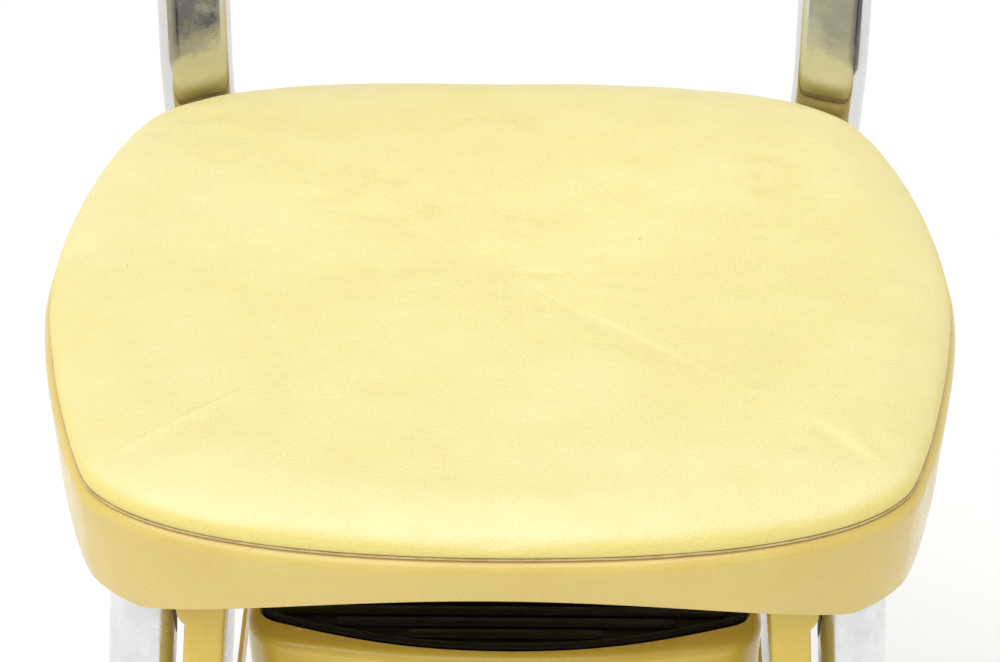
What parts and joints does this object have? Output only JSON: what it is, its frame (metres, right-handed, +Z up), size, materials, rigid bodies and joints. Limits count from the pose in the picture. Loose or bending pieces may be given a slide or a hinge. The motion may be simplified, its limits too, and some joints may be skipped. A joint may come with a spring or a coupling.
{
  "type": "step stool chair",
  "caption": "Counter-height padded kitchen chair on chromed legs, with treads that swing out from under the seat on parallel links.",
  "frame": {"origin": "on the floor, under the middle of the chair", "axes": "+Z up, -Y is the front where the steps swing out, +X is the right as seen from the front"},
  "size_m": [0.4328, 0.4783, 0.8543],
  "materials": {
    "vinyl": "soft yellow vinyl with a fine leather grain",
    "foam": "open foam",
    "board": "bare fibreboard",
    "rubber": "dull black moulded rubber",
    "chrome": "worn bright plating on tube",
    "zinc": "zinc plated steel",
    "yellow_paint": "baked yellow enamel",
    "dark_paint": "baked yellow enamel, unseen side"
  },
  "bodies": {
    "frame": {"back_cover": "vinyl", "back_foam": "foam", "back_pan": "yellow_paint", "back_screw_high_left": "zinc", "back_screw_high_right": "zinc", "back_screw_low_left": "zinc", "back_screw_low_right": "zinc", "back_upright_left": "chrome", "back_upright_right": "chrome", "front_leg_left": "chrome", "front_leg_right": "chrome", "front_seat_channel": "dark_paint", "front_tip_left": "rubber", "front_tip_right": "rubber", "lower_pivot_rod": "zinc", "rear_leg_left": "chrome", "rear_leg_right": "chrome", "rear_seat_channel": "dark_paint", "rear_stretcher": "chrome", "rear_tip_left": "rubber", "rear_tip_right": "rubber", "seat_board": "board", "seat_cover": "vinyl", "seat_foam": "foam", "seat_pan": "yellow_paint", "side_stretcher_left": "chrome", "side_stretcher_right": "chrome", "upper_pivot_rod": "zinc", "upright_bolt_high_left": "zinc", "upright_bolt_high_right": "zinc", "upright_bolt_low_left": "zinc", "upright_bolt_low_right": "zinc"},
    "upper_links": {"upper_link_left": "zinc", "upper_link_right": "zinc"},
    "lower_links": {"lower_link_left": "zinc", "lower_link_right": "zinc"},
    "step_unit": {"lower_mat": "rubber", "lower_pin_left": "zinc", "lower_pin_right": "zinc", "lower_strap_left": "yellow_paint", "lower_strap_right": "yellow_paint", "lower_tread": "yellow_paint", "lower_tread_rod": "zinc", "rail_foot_left": "rubber", "rail_foot_right": "rubber", "rail_left": "yellow_paint", "rail_right": "yellow_paint", "upper_mat": "rubber", "upper_pin_left": "zinc", "upper_pin_right": "zinc", "upper_strap_left": "yellow_paint", "upper_strap_right": "yellow_paint", "upper_tread": "yellow_paint", "upper_tread_rod": "zinc"}
  },
  "joints": [
    {"name": "step_swing", "type": "hinge", "parent": "frame", "child": "upper_links", "pos_m": [0, -0.16805, 0.352], "axis": [1, 0, 0], "range_deg": [0, 66]},
    {"name": "lower_link_swing", "type": "hinge", "parent": "frame", "child": "lower_links", "pos_m": [0, -0.19924, 0.13], "axis": [1, 0, 0], "range_deg": [0, 66]},
    {"name": "step_level", "type": "hinge", "parent": "upper_links", "child": "step_unit", "pos_m": [0, -0.14902, 0.533], "axis": [1, 0, 0], "range_deg": [-66, 0]}
  ],
  "couplings": [
    {"joint": "lower_link_swing", "follows": "step_swing", "ratio": 1},
    {"joint": "step_level", "follows": "step_swing", "ratio": -1}
  ]
}
